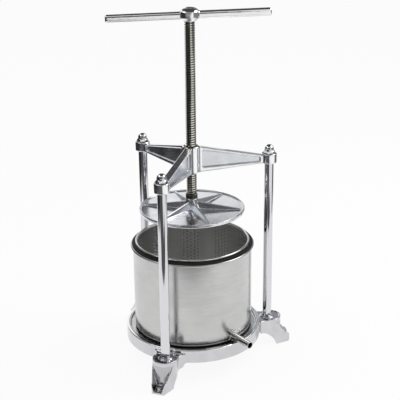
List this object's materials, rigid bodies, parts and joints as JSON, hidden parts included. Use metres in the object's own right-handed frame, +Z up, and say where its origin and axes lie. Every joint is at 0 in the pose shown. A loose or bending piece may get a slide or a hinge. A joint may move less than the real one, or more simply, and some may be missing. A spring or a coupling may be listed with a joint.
{
  "type": "fruit press",
  "caption": "Table fruit press: three-post cast frame, screw with T-handle, ribbed press plate, perforated basket in a sheet-steel vessel with a spout.",
  "frame": {"origin": "on the screw's axis, in the plane of the feet's undersides (the table)", "axes": "+Z up along the screw; the spout points to -Y; one post stands at +Y"},
  "size_m": [0.3156, 0.3263, 0.614],
  "materials": {
    "cast_aluminium": "die-cast aluminium, polished, with soft tumbling marks",
    "chrome": "bright chrome plate on steel",
    "stainless_sheet": "stainless sheet, lightly brushed",
    "zinc_steel": "yellowish zinc-plated steel",
    "dark_steel": "blackened steel",
    "bronze": "turned bronze",
    "black_rubber": "matt black rubber"
  },
  "bodies": {
    "frame": {"base_casting": "cast_aluminium", "left_post": "chrome", "right_post": "chrome", "rear_post": "chrome", "foot_washers": "zinc_steel", "foot_nuts": "zinc_steel", "yoke_casting": "cast_aluminium", "screw_nut": "bronze", "top_washers": "zinc_steel", "acorn_nuts": "chrome", "vessel_shell": "stainless_sheet", "vessel_bottom": "stainless_sheet", "spout_tube": "chrome", "spout_collar": "chrome", "basket_shell": "stainless_sheet", "basket_rim": "stainless_sheet", "basket_floor": "stainless_sheet", "splash_ring": "black_rubber"},
    "plate": {"press_plate": "cast_aluminium"},
    "screw": {"thrust_washer": "bronze", "thrust_collar": "dark_steel", "plate_washer": "zinc_steel", "plate_bolt": "zinc_steel", "spindle": "zinc_steel", "t_handle": "cast_aluminium", "handle_pin": "zinc_steel"}
  },
  "joints": [
    {"name": "plate_travel", "type": "slide", "parent": "frame", "child": "plate", "axis": [0, 0, 1], "range_m": [-0.203, 0.039]},
    {"name": "screw_turn", "type": "hinge", "parent": "plate", "child": "screw", "pos_m": [0, 0, 0.29], "axis": [0, 0, 1], "range_deg": [-18250, 3500]}
  ],
  "couplings": [
    {"joint": "plate_travel", "follows": "screw_turn", "m_per_rad": 0.00063662}
  ]
}
